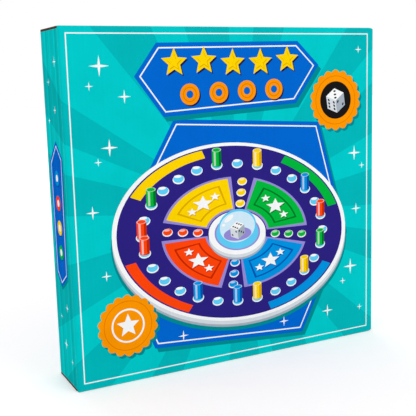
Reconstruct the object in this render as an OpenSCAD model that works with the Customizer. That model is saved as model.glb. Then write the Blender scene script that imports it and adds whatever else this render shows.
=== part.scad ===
// Popping-dice chase game in its closed corrugated carton.
// The carton stands upright on its narrow bottom wall, +Z up, the printed front facing -Y.
// The origin is the middle of the bottom. All sizes are in millimetres.
// The game lies with its back to the back panel. Its own frame is u to the right,
// v up and h from the back panel's inner face towards the front lid.

/* [Carton] */
// Width of the carton across the printed front
carton_w = 270; // [262:1:300]
// Height of the carton
carton_h = 264; // [258:1:290]
// Thickness of the corrugated board
board_t = 1.5; // [1:0.1:2.5]
// Gap between two layers of board that lie on each other
layer_gap = 0.2; // [0.1:0.05:0.5]
// Gap round the edges of the lid
lid_gap = 0.3; // [0.2:0.1:1]
// Radius of the free corners of the lid
lid_corner_r = 2.3; // [1:0.1:8]
// Depth of the closing flap that folds from the lid over the right wall
closing_flap_l = 34; // [20:1:40]
// Radius of the free corners of the closing flap
closing_flap_r = 6; // [2:0.5:15]
// Length of the flaps inside the rolled top and bottom walls
corner_flap_l = 40; // [20:1:80]
// Depth of those flaps from the front
corner_flap_d = 36; // [20:1:40]
// Width of the tabs that lock the rolled walls in the back panel
tab_w = 36; // [15:1:60]
// Distance of each tab from the middle
tab_x = 70; // [40:1:90]
// Gap between a tab and its slot
tab_gap = 0.15; // [0.1:0.05:0.5]
// Room between the highest lifted piece and the lid
headroom = 0.5; // [0.4:0.1:10]

/* [Game base] */
// Play of the game between the top and bottom walls
game_play = 1.6; // [0.6:0.1:6]
// Least play between the game and each side wall
side_play = 2; // [0.5:0.1:6]
// Gap between the game and the wall that it stands on
seat_gap = 0.2; // [0.1:0.05:0.5]
// Length cut off each corner of the square base
corner_cut = 60; // [50:1:62]
// Height of the feet
foot_h = 2; // [1.8:0.1:5]
// Radius of the feet
foot_r = 6; // [3:0.5:9]
// Distance of the feet from the middle, sideways
foot_u = 100; // [85:1:110]
// Distance of the feet from the middle, up and down
foot_v = 50; // [20:1:60]
// Depth of the base tray, without its feet
tray_d = 12; // [10:0.5:20]
// Thickness of the tray's outer wall
tray_wall = 2.4; // [1.5:0.1:4]
// Thickness of the tray's floor
tray_floor = 2; // [1.2:0.1:3]
// Width of the ledge that carries the printed card
ledge_w = 4; // [2:0.5:8]
// Thickness of the tray's ribs
rib_t = 1.6; // [1:0.1:3]
// Gap between the tray's wall and the sheets in it
sheet_gap = 0.3; // [0.2:0.05:0.6]
// Thickness of the printed card
card_t = 0.8; // [0.4:0.1:1.5]
// Thickness of the clear top sheet
clear_t = 1.6; // [1:0.1:3]

/* [Cups and pegs] */
// Radius of a peg
peg_r = 6; // [4.5:0.1:6.1]
// Length of a peg
peg_l = 22; // [18:0.5:30]
// Bevel round the ends of a peg
peg_bevel = 0.6; // [0.2:0.1:1.5]
// Gap between a peg and its cup
peg_gap = 0.3; // [0.15:0.05:0.4]
// Wall of a cup
cup_wall = 1.2; // [0.8:0.1:1.3]
// Height of a cup above the clear top
cup_h = 7; // [5:0.5:10]
// Gap under a peg that stands in its cup
peg_seat = 0.2; // [0.1:0.05:0.4]
// Lift past the rim of its cup that frees a peg
lift_over = 0.3; // [0.2:0.1:2]
// Distance of the straight rows of track cups from the middle
track_row = 108; // [104:0.5:111]
// Distance from those rows to the game's edge
track_inset = 18.3; // [17.5:0.1:20]
// Spacing of the track cups along a side
track_pitch = 22; // [17:0.5:22]
// Near coordinate of the two track cups at each corner
track_near = 67; // [65:0.5:68]
// Far coordinate of the two track cups at each corner
track_far = 86; // [85:0.5:88]
// Distance from the cut corner's edge to the row of home cups
home_inset = 13; // [12:0.1:14]
// Spacing of the home cups
home_pitch = 17; // [15.5:0.1:18]
// Distance of the first finish cup from the middle
finish_start = 46; // [45.5:0.1:47]
// Least gap between a finish cup and the popper housing
finish_gap = 0.8; // [0.3:0.1:2]
// Spacing of the finish cups along the diagonal
finish_pitch = 16.5; // [15.5:0.1:16.8]

/* [Dice popper] */
// Width of the eight-sided popper housing over its flats
pod_w = 74; // [72:0.5:76]
// Height of the popper housing above the clear top
pod_h = 8; // [6:0.5:12]
// Step of the housing's lower skirt
pod_step = 1.5; // [0.5:0.1:1.6]
// Height of the housing's lower skirt
pod_skirt_h = 3; // [1:0.5:5]
// Radius of the housing's bore
pod_bore_r = 25.3; // [25:0.1:26]
// Outer radius of the dome
dome_r = 23; // [21:0.1:23.2]
// Rise of the dome above the housing
dome_rise = 16.5; // [14:0.5:18]
// Wall of the dome
dome_wall = 1.4; // [1:0.1:2]
// Thickness of the dome's flange
flange_t = 1.4; // [1:0.1:2]
// Radial gap round the dome, its flange and the popping plate
dome_gap = 0.4; // [0.3:0.05:0.6]
// Travel of the dome when it is pressed
press_travel = 2.5; // [1.5:0.1:3]
// Share of the dome's travel that the popping plate makes
plate_share = 0.9; // [0.9:0.01:1]
// Thickness of the retaining ring
ring_t = 1.6; // [1:0.1:3]
// Outer radius of the retaining ring
ring_r = 29.5; // [27:0.5:34]
// Gap between pieces of the popper that rest on each other
rest_gap = 0.3; // [0.1:0.05:0.4]
// Length of the skirt below the dome's flange
skirt_l = 2.8; // [2:0.1:4]
// Thickness of the popping plate
plate_t = 0.6; // [0.4:0.1:1]
// Edge length of the die
die_w = 10; // [8:0.5:10]
// Radius of the coil spring's centre line
spring_r = 10; // [6:0.5:16]
// Radius of the spring's wire
wire_r = 0.45; // [0.3:0.05:0.8]
// Turns of the coil spring
spring_turns = 5; // [3:1:7]
// Distance of the housing's screws from the middle
screw_place_r = 31; // [30.5:0.1:32]
// Radius of the housing's screw posts
post_r = 3.2; // [2.6:0.1:3.4]
// Gap round a screw post where it passes through the sheets
post_gap = 0.4; // [0.2:0.05:0.8]
// Radius of a screw's shank
screw_r = 1.4; // [1:0.1:1.8]
// Radius of a screw's head
screw_head_r = 3; // [2.4:0.1:3.6]
// Height of a screw's head
screw_head_h = 1.5; // [1:0.1:1.6]
// Length of a screw's shank in its post
screw_grip = 8; // [5:0.5:9]

/* [Leaflet] */
// Width of the folded instruction leaflet
leaflet_w = 148; // [100:1:160]
// Height of the folded instruction leaflet
leaflet_h = 70; // [50:1:95]
// Thickness of the folded instruction leaflet
leaflet_t = 0.9; // [0.4:0.1:1.2]

/* [Hidden] */
$fn = 64;

eps = 0.01;
SIDE_ANGLES = [0, 90, 180, 270];
// Corner number of each colour, counted anticlockwise from the top right
YELLOW_CORNER = 0;
GREEN_CORNER = 1;
BLUE_CORNER = 2;
RED_CORNER = 3;

// Heights h above the back panel's inner face, from the feet up
tray_top = foot_h + tray_d;
floor_top = foot_h + tray_floor;
clear_bottom = tray_top - clear_t;
card_bottom = clear_bottom - card_t;
cup_top = tray_top + cup_h;
peg_bottom = tray_top + peg_seat;
peg_top = peg_bottom + peg_l;
peg_lift = cup_top - peg_bottom + lift_over;
pod_top = tray_top + pod_h;
ring_top = pod_top + ring_t;
dome_top = pod_top + dome_rise;
flange_top = pod_top - rest_gap;
flange_bottom = flange_top - flange_t;
skirt_bottom = flange_bottom - skirt_l;
plate_top = skirt_bottom - rest_gap;
plate_bottom = plate_top - plate_t;

// The carton is as deep as its contents need
inner_d = max(peg_top + peg_lift, dome_top) + headroom;
carton_d = inner_d + 2 * board_t;
front_y = -carton_d / 2;
back_in_y = carton_d / 2 - board_t;
wall_front_y = front_y + board_t + lid_gap;
rolled_t = 3 * board_t + 2 * layer_gap;
left_x = -carton_w / 2;
right_x = carton_w / 2;
base_right_x = right_x - board_t - lid_gap;
base_w = base_right_x - left_x;
layer_left_x = left_x + board_t + layer_gap;
layer_right_x = base_right_x - board_t - layer_gap;
roll_r = rolled_t / 2;

// The game fits between the walls and stands on the lower one
room_w = base_w - 2 * (board_t + side_play);
room_h = carton_h - 2 * rolled_t - game_play;
game_w = min(room_w, room_h);
game_z = rolled_t + seat_gap + game_w / 2;
sheet_inset = tray_wall + sheet_gap;

// Its cups, pegs, feet and cut corners grow with it, by this factor
game_k = game_w / 2 / (track_row + track_inset);
cut_l = game_k * corner_cut;
cup_bore_r = game_k * (peg_r + peg_gap);
cup_r = cup_bore_r + game_k * cup_wall;
home_row = (game_w - cut_l) / sqrt(2) - game_k * home_inset;
finish_first = max(game_k * finish_start, pod_w / 2 + finish_gap + cup_r);

// Inside of the dome: a spherical cap that meets the skirt
dome_sphere_r = (pow(dome_r, 2) + pow(dome_rise, 2)) / (2 * dome_rise);
dome_centre = dome_top - dome_sphere_r;
flange_r = pod_bore_r - dome_gap;
ring_bore_r = dome_r + dome_gap;
plate_r = pod_bore_r - dome_gap;
sheet_bore_r = pod_bore_r + 0.3;
ring_rib_r = screw_place_r + post_r + post_gap + 1;
die_bottom = plate_top + peg_seat;
spring_length = plate_bottom - floor_top - 2 * wire_r - 2 * layer_gap;

// Moves the game's frame (u, v, h) into the carton
module in_game() {
    translate([0, back_in_y, game_z]) rotate([90, 0, 0]) children();
}

// Square with its four corners cut, narrowed all round by inset
module cut_square(inset) {
    half = game_w / 2 - inset;
    cut = cut_l - inset * (2 - sqrt(2));
    polygon([
        [half, half - cut], [half - cut, half], [cut - half, half], [-half, half - cut],
        [-half, cut - half], [cut - half, -half], [half - cut, -half], [half, cut - half]
    ]);
}

// Flat board from the origin to [l, w], its two corners at l rounded
module board_sheet(l, w, r) {
    linear_extrude(board_t) {
        square([l - r, w]);
        translate([0, r]) square([l, w - 2 * r]);
        for (y = [r, w - r]) translate([l - r, y]) circle(r);
    }
}

// Tube between two heights
module tube(outer_r, inner_r, low, high) {
    translate([0, 0, low]) difference() {
        cylinder(r = outer_r, h = high - low);
        translate([0, 0, -eps]) cylinder(r = inner_r, h = high - low + 2 * eps);
    }
}

// Raised cup on the clear top
module cup() {
    tube(cup_r, cup_bore_r, tray_top, cup_top);
}

// Slots in the back panel, or the tabs that fill them, at the height of a rolled wall's inner layer
module wall_tabs(low_z, gap) {
    for (side = [-1, 1])
        translate([side * tab_x - tab_w / 2 - gap, back_in_y - gap, low_z - gap])
            cube([tab_w + 2 * gap, board_t + 2 * gap, board_t + 2 * gap]);
}

// Bottom wall as rolled from the back panel: outer layer, round front roll, inner layer and tabs
module rolled_wall() {
    translate([left_x, wall_front_y + roll_r, 0])
        cube([base_w, back_in_y - wall_front_y - roll_r, board_t]);
    for (x = [left_x, layer_right_x])
        translate([x, wall_front_y, 0])
            cube([board_t + layer_gap, roll_r, board_t]);
    translate([layer_left_x, wall_front_y + roll_r, rolled_t - board_t])
        cube([layer_right_x - layer_left_x, back_in_y - wall_front_y - roll_r, board_t]);
    translate([layer_left_x, wall_front_y + roll_r, roll_r]) rotate([90, 0, 90])
        linear_extrude(layer_right_x - layer_left_x) difference() {
            circle(roll_r);
            circle(roll_r - board_t);
            translate([0, -rolled_t]) square([rolled_t, 2 * rolled_t]);
        }
    wall_tabs(rolled_t - board_t, 0);
}

// ---- Carton ----

module back_panel() {
    color("peru") difference() {
        translate([left_x, back_in_y, 0]) cube([base_w, board_t, carton_h]);
        wall_tabs(rolled_t - board_t, tab_gap);
        wall_tabs(carton_h - rolled_t, tab_gap);
    }
}

module side_wall(x) {
    low = board_t + layer_gap;
    translate([x, wall_front_y, low])
        cube([board_t, back_in_y - wall_front_y, carton_h - 2 * low]);
}

module hinge_wall() {
    color("darkturquoise") side_wall(left_x);
}

module right_wall() {
    color("darkturquoise") side_wall(base_right_x - board_t);
}

module bottom_wall() {
    color("darkturquoise") rolled_wall();
}

module top_wall() {
    color("darkturquoise") translate([0, 0, carton_h]) mirror([0, 0, 1]) rolled_wall();
}

module corner_flaps() {
    low = board_t + layer_gap;
    color("burlywood")
        for (x = [left_x + board_t, base_right_x - board_t - corner_flap_l])
            for (z = [low, carton_h - low - board_t])
                translate([x, wall_front_y + roll_r, z])
                    cube([corner_flap_l, corner_flap_d, board_t]);
}

module lid_panel() {
    color("darkturquoise") translate([left_x, front_y + board_t, lid_gap]) rotate([90, 0, 0])
        board_sheet(carton_w, carton_h - lid_gap, lid_corner_r);
}

module closing_flap() {
    edge = 3 * lid_gap + lid_corner_r;
    color("darkturquoise") translate([right_x - board_t, front_y + board_t, edge])
        rotate([90, 0, 90]) board_sheet(closing_flap_l, carton_h - 2 * edge, closing_flap_r);
}

module rules_leaflet() {
    color("white")
        translate([-leaflet_w / 2, back_in_y - layer_gap - leaflet_t, rolled_t + seat_gap])
            cube([leaflet_w, leaflet_t, leaflet_h]);
}

// ---- Game base ----

module base_tray() {
    rib_l = game_w / 2 - sheet_inset - ring_rib_r;
    color("whitesmoke") in_game() difference() {
        union() {
            difference() {
                translate([0, 0, foot_h]) linear_extrude(tray_d) cut_square(0);
                translate([0, 0, card_bottom]) linear_extrude(tray_d) cut_square(tray_wall);
                translate([0, 0, floor_top]) linear_extrude(tray_d)
                    cut_square(tray_wall + ledge_w);
            }
            tube(ring_rib_r + rib_t, ring_rib_r, floor_top - eps, card_bottom);
            tube(spring_r - wire_r - layer_gap, spring_r - 3, floor_top - eps, floor_top + 3);
            for (a = SIDE_ANGLES) rotate(a)
                translate([ring_rib_r + rib_t / 2, -rib_t / 2, floor_top - eps])
                    cube([rib_l, rib_t, card_bottom - floor_top + eps]);
        }
        at_screws() translate([0, 0, foot_h - eps])
            cylinder(r = screw_r + post_gap, h = tray_floor + 2 * eps);
    }
}

module feet() {
    color("dimgray") in_game()
        for (u = [-foot_u, foot_u]) for (v = [-foot_v, foot_v])
            translate([game_k * u, game_k * v, 0]) cylinder(r = game_k * foot_r, h = foot_h);
}

// Sheet that fills the tray, open for the popper and its screw posts
module tray_sheet(low, thickness) {
    translate([0, 0, low]) difference() {
        linear_extrude(thickness) cut_square(sheet_inset);
        translate([0, 0, -eps]) cylinder(r = sheet_bore_r, h = thickness + 2 * eps);
        at_screws() translate([0, 0, -eps])
            cylinder(r = post_r + post_gap, h = thickness + 2 * eps);
    }
}

module board_card() {
    color("midnightblue") in_game() tray_sheet(card_bottom, card_t);
}

module clear_top() {
    color("lightcyan", 0.4) in_game() tray_sheet(clear_bottom, clear_t);
}

module track_cups() {
    side_cups = [for (i = [-2:2]) [i * track_pitch, track_row]];
    corner_cups = [[track_near, track_far], [track_far, track_near]];
    color("lightcyan", 0.5) in_game() for (a = SIDE_ANGLES) rotate(a)
        for (place = concat(side_cups, corner_cups))
            translate([game_k * place[0], game_k * place[1], 0]) cup();
}

module finish_cups() {
    color("lightcyan", 0.5) in_game() for (a = SIDE_ANGLES) rotate(a + 45)
        for (i = [0:3]) translate([finish_first + i * game_k * finish_pitch, 0, 0]) cup();
}

// Places its children at home cup number i, from 0 to 3, of a corner
module at_home(corner, i) {
    rotate(SIDE_ANGLES[corner] + 45)
        translate([home_row, (i - 1.5) * game_k * home_pitch, 0]) children();
}

module home_cups() {
    color("lightcyan", 0.5) in_game()
        for (corner = [0:3]) for (i = [0:3]) at_home(corner, i) cup();
}

// ---- Dice popper ----

// Places its children at the four screws
module at_screws() {
    for (a = SIDE_ANGLES) rotate(a + 45) translate([screw_place_r, 0, 0]) children();
}

// Regular eight-sided prism, w over its flats
module eight_sided(w, low, high) {
    translate([0, 0, low]) rotate(22.5)
        cylinder(d = w / cos(22.5), h = high - low, $fn = 8);
}

module pod_housing() {
    color("whitesmoke") in_game() difference() {
        union() {
            eight_sided(pod_w, tray_top, tray_top + pod_skirt_h);
            eight_sided(pod_w - 2 * pod_step, tray_top, pod_top);
            at_screws() translate([0, 0, floor_top])
                cylinder(r = post_r, h = tray_top - floor_top + eps);
        }
        translate([0, 0, tray_top - eps]) cylinder(r = pod_bore_r, h = pod_h + 2 * eps);
        at_screws() translate([0, 0, floor_top - eps])
            cylinder(r = screw_r, h = screw_grip + 1 + eps);
    }
}

module dome_ring() {
    color("whitesmoke") in_game() tube(ring_r, ring_bore_r, pod_top, ring_top);
}

module dome() {
    color("azure", 0.3) in_game() rotate_extrude() {
        intersection() {
            translate([0, pod_top]) square([dome_r, dome_rise]);
            difference() {
                translate([0, dome_centre]) circle(dome_sphere_r);
                translate([0, dome_centre]) circle(dome_sphere_r - dome_wall);
            }
        }
        translate([dome_r - dome_wall, skirt_bottom])
            square([dome_wall, pod_top - skirt_bottom + eps]);
        translate([dome_r - dome_wall, flange_bottom])
            square([flange_r - dome_r + dome_wall, flange_t]);
    }
}

module die() {
    color("white") in_game() translate([0, 0, die_bottom + die_w / 2]) intersection() {
        cube(die_w, center = true);
        sphere(r = die_w * 0.74);
    }
}

module popping_plate() {
    color("silver") in_game() translate([0, 0, plate_bottom]) cylinder(r = plate_r, h = plate_t);
}

// Coil spring: one closed tube of hexagonal rings along a helix
module return_spring() {
    steps = spring_turns * 24;
    sides = 6;
    low = floor_top + wire_r + layer_gap;
    ring_points = [for (i = [0:steps]) for (k = [0:sides - 1])
        let (a = i * 15, b = k * 360 / sides, r = spring_r + wire_r * cos(b))
            [r * cos(a), r * sin(a), low + spring_length * i / steps + wire_r * sin(b)]];
    side_faces = [for (i = [0:steps - 1]) for (k = [0:sides - 1])
        let (p = i * sides + k, q = i * sides + (k + 1) % sides)
            each [[p, p + sides, q], [q, p + sides, q + sides]]];
    end_faces = [
        [for (k = [0:sides - 1]) k],
        [for (k = [sides - 1:-1:0]) steps * sides + k]
    ];
    color("silver") in_game() polyhedron(ring_points, concat(side_faces, end_faces));
}

module screws() {
    color("gray") in_game() at_screws() {
        translate([0, 0, foot_h - screw_head_h]) cylinder(r = screw_head_r, h = screw_head_h);
        translate([0, 0, foot_h - eps]) cylinder(r = screw_r, h = tray_floor + screw_grip + eps);
    }
}

// ---- Pegs ----

// Peg that stands in home cup number i of a corner
module peg(corner, i) {
    r = game_k * peg_r;
    in_game() at_home(corner, i) translate([0, 0, peg_bottom]) rotate_extrude() polygon([
        [0, 0], [r - peg_bevel, 0], [r, peg_bevel], [r, peg_l - peg_bevel],
        [r - peg_bevel, peg_l], [0, peg_l]
    ]);
}

module green_peg_1() { color("green") peg(GREEN_CORNER, 0); }
module green_peg_2() { color("green") peg(GREEN_CORNER, 1); }
module green_peg_3() { color("green") peg(GREEN_CORNER, 2); }
module green_peg_4() { color("green") peg(GREEN_CORNER, 3); }
module yellow_peg_1() { color("gold") peg(YELLOW_CORNER, 0); }
module yellow_peg_2() { color("gold") peg(YELLOW_CORNER, 1); }
module yellow_peg_3() { color("gold") peg(YELLOW_CORNER, 2); }
module yellow_peg_4() { color("gold") peg(YELLOW_CORNER, 3); }
module red_peg_1() { color("orangered") peg(RED_CORNER, 0); }
module red_peg_2() { color("orangered") peg(RED_CORNER, 1); }
module red_peg_3() { color("orangered") peg(RED_CORNER, 2); }
module red_peg_4() { color("orangered") peg(RED_CORNER, 3); }
module blue_peg_1() { color("royalblue") peg(BLUE_CORNER, 0); }
module blue_peg_2() { color("royalblue") peg(BLUE_CORNER, 1); }
module blue_peg_3() { color("royalblue") peg(BLUE_CORNER, 2); }
module blue_peg_4() { color("royalblue") peg(BLUE_CORNER, 3); }

back_panel();
hinge_wall();
right_wall();
top_wall();
bottom_wall();
corner_flaps();
lid_panel();
closing_flap();
rules_leaflet();
base_tray();
feet();
board_card();
clear_top();
track_cups();
finish_cups();
home_cups();
pod_housing();
dome_ring();
dome();
die();
popping_plate();
return_spring();
screws();
green_peg_1();
green_peg_2();
green_peg_3();
green_peg_4();
yellow_peg_1();
yellow_peg_2();
yellow_peg_3();
yellow_peg_4();
red_peg_1();
red_peg_2();
red_peg_3();
red_peg_4();
blue_peg_1();
blue_peg_2();
blue_peg_3();
blue_peg_4();
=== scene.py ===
"""Looks of the popping-dice board game in its corrugated carton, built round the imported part."""
import math

import bmesh
import bpy
from mathutils import Matrix, Vector
from mathutils.geometry import delaunay_2d_cdt


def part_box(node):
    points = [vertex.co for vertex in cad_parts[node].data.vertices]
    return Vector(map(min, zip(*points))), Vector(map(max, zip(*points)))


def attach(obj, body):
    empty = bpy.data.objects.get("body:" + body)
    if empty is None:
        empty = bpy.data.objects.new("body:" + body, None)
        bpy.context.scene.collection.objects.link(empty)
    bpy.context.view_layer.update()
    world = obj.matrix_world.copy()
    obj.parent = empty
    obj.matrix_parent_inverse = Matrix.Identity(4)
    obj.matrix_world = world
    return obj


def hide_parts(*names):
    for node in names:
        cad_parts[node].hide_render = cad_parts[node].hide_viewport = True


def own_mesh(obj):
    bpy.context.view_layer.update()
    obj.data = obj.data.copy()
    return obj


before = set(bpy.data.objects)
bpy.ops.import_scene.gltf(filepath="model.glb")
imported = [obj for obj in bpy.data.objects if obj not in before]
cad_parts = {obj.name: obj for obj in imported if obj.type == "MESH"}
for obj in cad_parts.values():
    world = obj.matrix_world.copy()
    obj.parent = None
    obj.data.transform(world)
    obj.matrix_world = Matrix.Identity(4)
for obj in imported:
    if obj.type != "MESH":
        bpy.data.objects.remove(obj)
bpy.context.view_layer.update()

MM = 0.001

# ---- sizes, from the frame ----

LID_LO, LID_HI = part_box("lid_panel")
BACK_LO, BACK_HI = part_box("back_panel")
HINGE_LO, HINGE_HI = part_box("hinge_wall")
FLAP_LO, FLAP_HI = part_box("closing_flap")

BOARD = (LID_HI.y - LID_LO.y) / MM          # board thickness, mm
WIDTH = (LID_HI.x - LID_LO.x) / MM
HEIGHT = BACK_HI.z / MM
FRONT_Y, REAR_Y = LID_LO.y / MM, BACK_HI.y / MM
LEFT_X, RIGHT_X = LID_LO.x / MM, LID_HI.x / MM
BASE_RIGHT_X = BACK_HI.x / MM
WALL_FRONT_Y = HINGE_LO.y / MM
BACK_IN_Y = BACK_LO.y / MM
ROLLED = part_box("bottom_wall")[1].z / MM    # thickness of a rolled wall
FOLD_R = WALL_FRONT_Y - FRONT_Y             # outer radius of a fold
UNROLLED = FOLD_R * (math.pi / 2 - 1)       # what a fold adds to the length of a board's outside
DEPTH = REAR_Y - FRONT_Y
FLUTE_PITCH = 3.2                           # fine corrugated board, mm

# ---- colours ----


def linear(red, green, blue):
    """A colour written as the eye sees it, 0 to 255, as linear numbers."""
    def one(value):
        value /= 255
        return value / 12.92 if value <= 0.04045 else ((value + 0.055) / 1.055) ** 2.4
    return (one(red), one(green), one(blue), 1.0)


def lighter(ink, share=0.45):
    return tuple(c + (1 - c) * share for c in ink[:3]) + (1.0,)


TEAL = linear(0, 202, 203)
TEAL_DARK = linear(0, 184, 187)
TEAL_SHADE = linear(0, 140, 146)
BLUE = linear(0, 103, 208)
BLUE_DARK = linear(0, 74, 164)
ORANGE = linear(255, 152, 0)
ORANGE_DARK = linear(226, 116, 0)
INDIGO = linear(44, 34, 128)
NIGHT = linear(26, 22, 84)
LILAC = linear(150, 140, 214)
YELLOW = linear(255, 214, 0)
YELLOW_DARK = linear(222, 170, 0)
RED = linear(255, 70, 10)
RED_DARK = linear(196, 40, 0)
SKY = linear(0, 148, 226)
SKY_PALE = linear(96, 206, 246)
SKY_DARK = linear(0, 84, 176)
GREEN = linear(0, 184, 60)
GREEN_DARK = linear(0, 116, 40)
WHITE = linear(250, 252, 252)
GREY = linear(214, 222, 228)
GREY_DARK = linear(166, 178, 190)
BLACK = linear(24, 22, 22)
PLAYER_INKS = [(GREEN, GREEN_DARK), (YELLOW, YELLOW_DARK), (RED, RED_DARK), (SKY, SKY_DARK)]

# ---- flat shapes for prints, mm ----


def around(x, y, r, t):
    """The point at distance r and angle t, in radians, from x, y."""
    return (x + r * math.cos(t), y + r * math.sin(t))


def on_ellipse(x, y, a, b, turn, t):
    """The point at angle t, in radians, of an ellipse turned by an angle in degrees."""
    c, s = math.cos(math.radians(turn)), math.sin(math.radians(turn))
    return (x + a * math.cos(t) * c - b * math.sin(t) * s, y + a * math.cos(t) * s + b * math.sin(t) * c)


def ellipse(x, y, a, b, count=48, turn=0.0):
    return [on_ellipse(x, y, a, b, turn, 2 * math.pi * k / count) for k in range(count)]


def circle(x, y, r, count=48):
    return ellipse(x, y, r, r, count)


def spikes(x, y, outer, inner):
    """A five-pointed star with straight sides between outer and inner points."""
    return [around(x, y, inner if k % 2 else outer, math.radians(90) + math.pi * k / 5) for k in range(10)]


def rings(x, y, *steps, count=48):
    """Circles round one middle, each with its radius and ink."""
    return [(circle(x, y, r, count), ink) for r, ink in steps]


def sparkles(spots):
    """White four-pointed stars with hollow sides, at places (x, y, r)."""
    reach = [1.0, 0.30, 0.17, 0.30]
    return [([around(x, y, r * reach[k % 4], math.pi * k / 8) for k in range(16)], WHITE) for x, y, r in spots]


def scallop(x, y, r, lobes=18, depth=0.09):
    """A badge with round lobes."""
    count = lobes * 8
    return [around(x, y, r * (1 - depth * (1 - abs(math.sin(lobes * math.pi * k / count)))), 2 * math.pi * k / count)
            for k in range(count)]


def shrunk(points, inset):
    """A convex polygon, anticlockwise, drawn in by inset on every side."""
    made = []
    for k in range(len(points)):
        a, b, c = (Vector(points[k - 1]), Vector(points[k]), Vector(points[(k + 1) % len(points)]))
        u, v = (b - a).normalized(), (c - b).normalized()
        m, n = Vector((-u.y, u.x)), Vector((-v.y, v.x))
        made.append(tuple(b + (m + n) * inset / (1 + m.dot(n))))
    return made


def moved(points, dx, dy):
    return [(x + dx, y + dy) for x, y in points]


def moved_all(shapes, dx, dy):
    return [(moved(points, dx, dy), ink) for points, ink in shapes]


def rectangle(x0, y0, x1, y1):
    return [(x0, y0), (x1, y0), (x1, y1), (x0, y1)]


def pinline(x0, y0, x1, y1, width=0.85):
    """The four bars of a thin rectangular frame."""
    bars = [(x0, y0, x1, y0 + width), (x0, y1 - width, x1, y1), (x0, y0, x0 + width, y1), (x1 - width, y0, x1, y1)]
    return [(rectangle(*bar), WHITE) for bar in bars]


def sunburst(x, y, reach, turn=4.0, count=15):
    """Rays of the darker teal from one centre. Their widths vary a little."""
    rays = []
    for k in range(count):
        middle = turn + 360 * k / count + 3.0 * math.sin(2.4 * k)
        half = 90 / count * (1 + 0.22 * math.sin(1.7 * k + 0.6))
        ends = [around(x, y, reach, math.radians(angle)) for angle in (middle - half, middle + half)]
        rays.append(([(x, y)] + ends, TEAL_DARK))
    return rays


def plaque(points, line=1.0, inset=3.2, shadow=(2.6, -3.4)):
    """A blue panel with its drop shadow and white pinline."""
    return [(moved(points, *shadow), TEAL_SHADE), (points, BLUE),
            (shrunk(points, inset), WHITE), (shrunk(points, inset + line), BLUE)]


def side_plaque(points):
    return plaque(points, 0.8, 2.4, (1.2, -2.0))


def badge(x, y, r):
    """An orange seal with its drop shadow."""
    rim = scallop(x, y, r)
    shapes = [(moved(rim, 1.8, -2.2), TEAL_SHADE), (rim, ORANGE)]
    return shapes + rings(x, y, (0.80 * r, ORANGE_DARK), (0.78 * r, ORANGE))


def drawn_peg(x, y, r, height, inks):
    """A peg seen from slightly above: dark side, body, light stripe and top."""
    body, dark = inks
    flat = 0.42
    return [(ellipse(x, y, r, r * flat, 24), dark), (rectangle(x - r, y, x + r, y + height), dark),
            (rectangle(x - r, y - 0.1 * r, x + 0.45 * r, y + height), body),
            (ellipse(x - 0.2 * r, y, 0.72 * r, r * flat * 0.95, 24), body),
            (rectangle(x - 0.62 * r, y - 0.2 * r, x - 0.2 * r, y + height), lighter(body)),
            (ellipse(x, y + height, r, r * flat, 24), lighter(body)),
            (ellipse(x, y + height, 0.8 * r, 0.8 * r * flat, 24), body)]


PIPS = {1: [(0, 0)], 2: [(-1, -1), (1, 1)], 3: [(-1, -1), (0, 0), (1, 1)],
        4: [(-1, -1), (-1, 1), (1, -1), (1, 1)], 5: [(-1, -1), (-1, 1), (1, -1), (1, 1), (0, 0)],
        6: [(-1, -1), (-1, 0), (-1, 1), (1, -1), (1, 0), (1, 1)]}


def drawn_die(x, y, edge, faces, turn=0.0):
    """A die in parallel projection, with the numbers of its top, left and right faces."""
    shapes, corner = [], Vector((x, y))
    for number, ink, start in zip(faces, (WHITE, GREY, GREY_DARK), (30, 150, 270)):
        u, v = (Vector(around(0, 0, 1, math.radians(angle))) * edge for angle in (start + turn, start + 120 + turn))
        centre = corner + (u + v) / 2
        shapes.append(([tuple(corner), tuple(corner + u), tuple(corner + u + v), tuple(corner + v)], ink))
        for a, b in PIPS[number]:
            middle = centre + u * a * 0.27 + v * b * 0.27
            angles = [2 * math.pi * k / 20 for k in range(20)]
            shapes.append(([tuple(middle + u * 0.1 * math.cos(t) + v * 0.1 * math.sin(t)) for t in angles], BLACK))
    return shapes


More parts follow.
